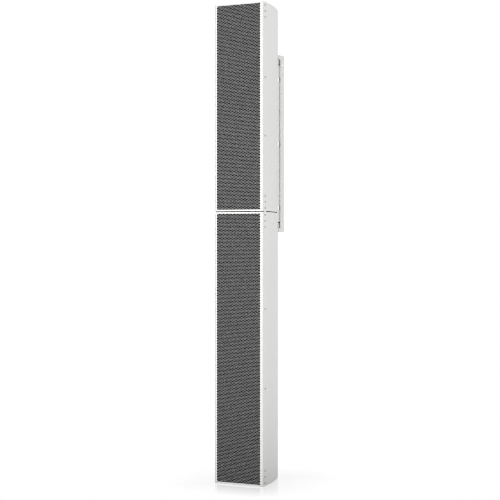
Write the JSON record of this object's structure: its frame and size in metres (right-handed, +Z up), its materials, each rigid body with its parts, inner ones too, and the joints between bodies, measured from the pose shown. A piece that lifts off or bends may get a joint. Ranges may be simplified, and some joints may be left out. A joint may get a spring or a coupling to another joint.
{
  "type": "column loudspeaker",
  "caption": "Slim white column loudspeaker of stacked cabinets with perforated front grilles and a panning wall bracket behind.",
  "frame": {"origin": "centre of the bounding box in plan, at the underside of the lower cabinet", "axes": "+Z up along the column, -Y out of the grilles, +Y towards the wall, +X across the column"},
  "size_m": [0.147, 0.227, 1.326],
  "materials": {
    "white_enamel": "satin white enamel on aluminium",
    "grille_enamel": "satin enamel on perforated steel",
    "bracket_enamel": "satin white enamel on folded steel",
    "plate_enamel": "satin white enamel",
    "black_foam": "open-cell acoustic foam",
    "gasket_foam": "closed-cell foam rubber",
    "coated_screw": "grey-coated screws",
    "bright_steel": "bright stainless screws",
    "dark_steel": "blackened screws",
    "zinc_steel": "zinc-plated steel",
    "baffle_board": "black-stained fibreboard",
    "cast_frame": "black-painted die casting",
    "motor_steel": "plated steel and ferrite",
    "cone_paper": "treated paper",
    "coil_foil": "aluminium former with copper wire",
    "soft_rubber": "butyl rubber",
    "spider_cloth": "resin-treated cotton",
    "black_plastic": "moulded, fine texture",
    "bare_aluminium": "mill finish",
    "circuit_board": "solder-masked glass fibre",
    "capacitor_sleeve": "shrink sleeve",
    "winding_film": "polyester film over copper windings",
    "contact_metal": "plated contacts",
    "lamp_lens": "diffusing lens",
    "bronze_bush": "sintered bronze",
    "nylon": "moulded nylon"
  },
  "bodies": {
    "column": {"amplifier_board_lower": "circuit_board", "amplifier_board_upper": "circuit_board", "audio_sockets": "black_plastic", "baffle_lower": "baffle_board", "baffle_upper": "baffle_board", "board_standoffs": "zinc_steel", "bottom_cap_lower": "white_enamel", "bottom_cap_upper": "white_enamel", "cabinet_rail": "bracket_enamel", "cap_screws": "dark_steel", "capacitors_lower": "capacitor_sleeve", "capacitors_upper": "capacitor_sleeve", "connector_panel": "bracket_enamel", "driver_frames_lower": "cast_frame", "driver_frames_upper": "cast_frame", "driver_motors_lower": "motor_steel", "driver_motors_upper": "motor_steel", "driver_screws": "dark_steel", "enclosure_lower": "white_enamel", "enclosure_upper": "white_enamel", "end_blocks_lower": "bare_aluminium", "end_blocks_upper": "bare_aluminium", "grille_foam_lower": "black_foam", "grille_foam_upper": "black_foam", "grille_lower": "grille_enamel", "grille_upper": "grille_enamel", "heat_sink_lower": "bare_aluminium", "heat_sink_upper": "bare_aluminium", "inlet_pins": "contact_metal", "joining_plates": "plate_enamel", "mains_inlet": "black_plastic", "network_sockets": "black_plastic", "nut_plates": "zinc_steel", "panel_screws": "dark_steel", "pivot_bushes": "bronze_bush", "rail_bolts": "zinc_steel", "seam_gasket": "gasket_foam", "side_screws": "coated_screw", "spiders_lower": "spider_cloth", "spiders_upper": "spider_cloth", "status_lamps": "lamp_lens", "surrounds_lower": "soft_rubber", "surrounds_upper": "soft_rubber", "top_cap_lower": "white_enamel", "top_cap_upper": "white_enamel", "transformer_bolts": "zinc_steel", "transformer_lower": "winding_film", "transformer_upper": "winding_film", "tweeters_lower": "black_plastic", "tweeters_upper": "black_plastic"},
    "wall_bracket": {"wall_rail": "bracket_enamel", "pivot_bolts": "zinc_steel", "pivot_spacers": "nylon", "retaining_nuts": "zinc_steel", "lock_screws": "bright_steel"},
    "lower_diaphragms": {"cones_lower": "cone_paper", "voice_coils_lower": "coil_foil"},
    "upper_diaphragms": {"cones_upper": "cone_paper", "voice_coils_upper": "coil_foil"}
  },
  "joints": [
    {"name": "bracket_pan", "type": "hinge", "parent": "column", "child": "wall_bracket", "pos_m": [0, 0.0935, 0.9511], "axis": [0, 0, 1], "range_deg": [-15, 15]},
    {"name": "lower_cone_travel", "type": "slide", "parent": "column", "child": "lower_diaphragms", "axis": [0, -1, 0], "range_m": [-0.003, 0.003], "stiffness_N_per_m": 7000, "deforming": ["surrounds_lower", "spiders_lower"]},
    {"name": "upper_cone_travel", "type": "slide", "parent": "column", "child": "upper_diaphragms", "axis": [0, -1, 0], "range_m": [-0.003, 0.003], "stiffness_N_per_m": 5000, "deforming": ["surrounds_upper", "spiders_upper"]}
  ]
}
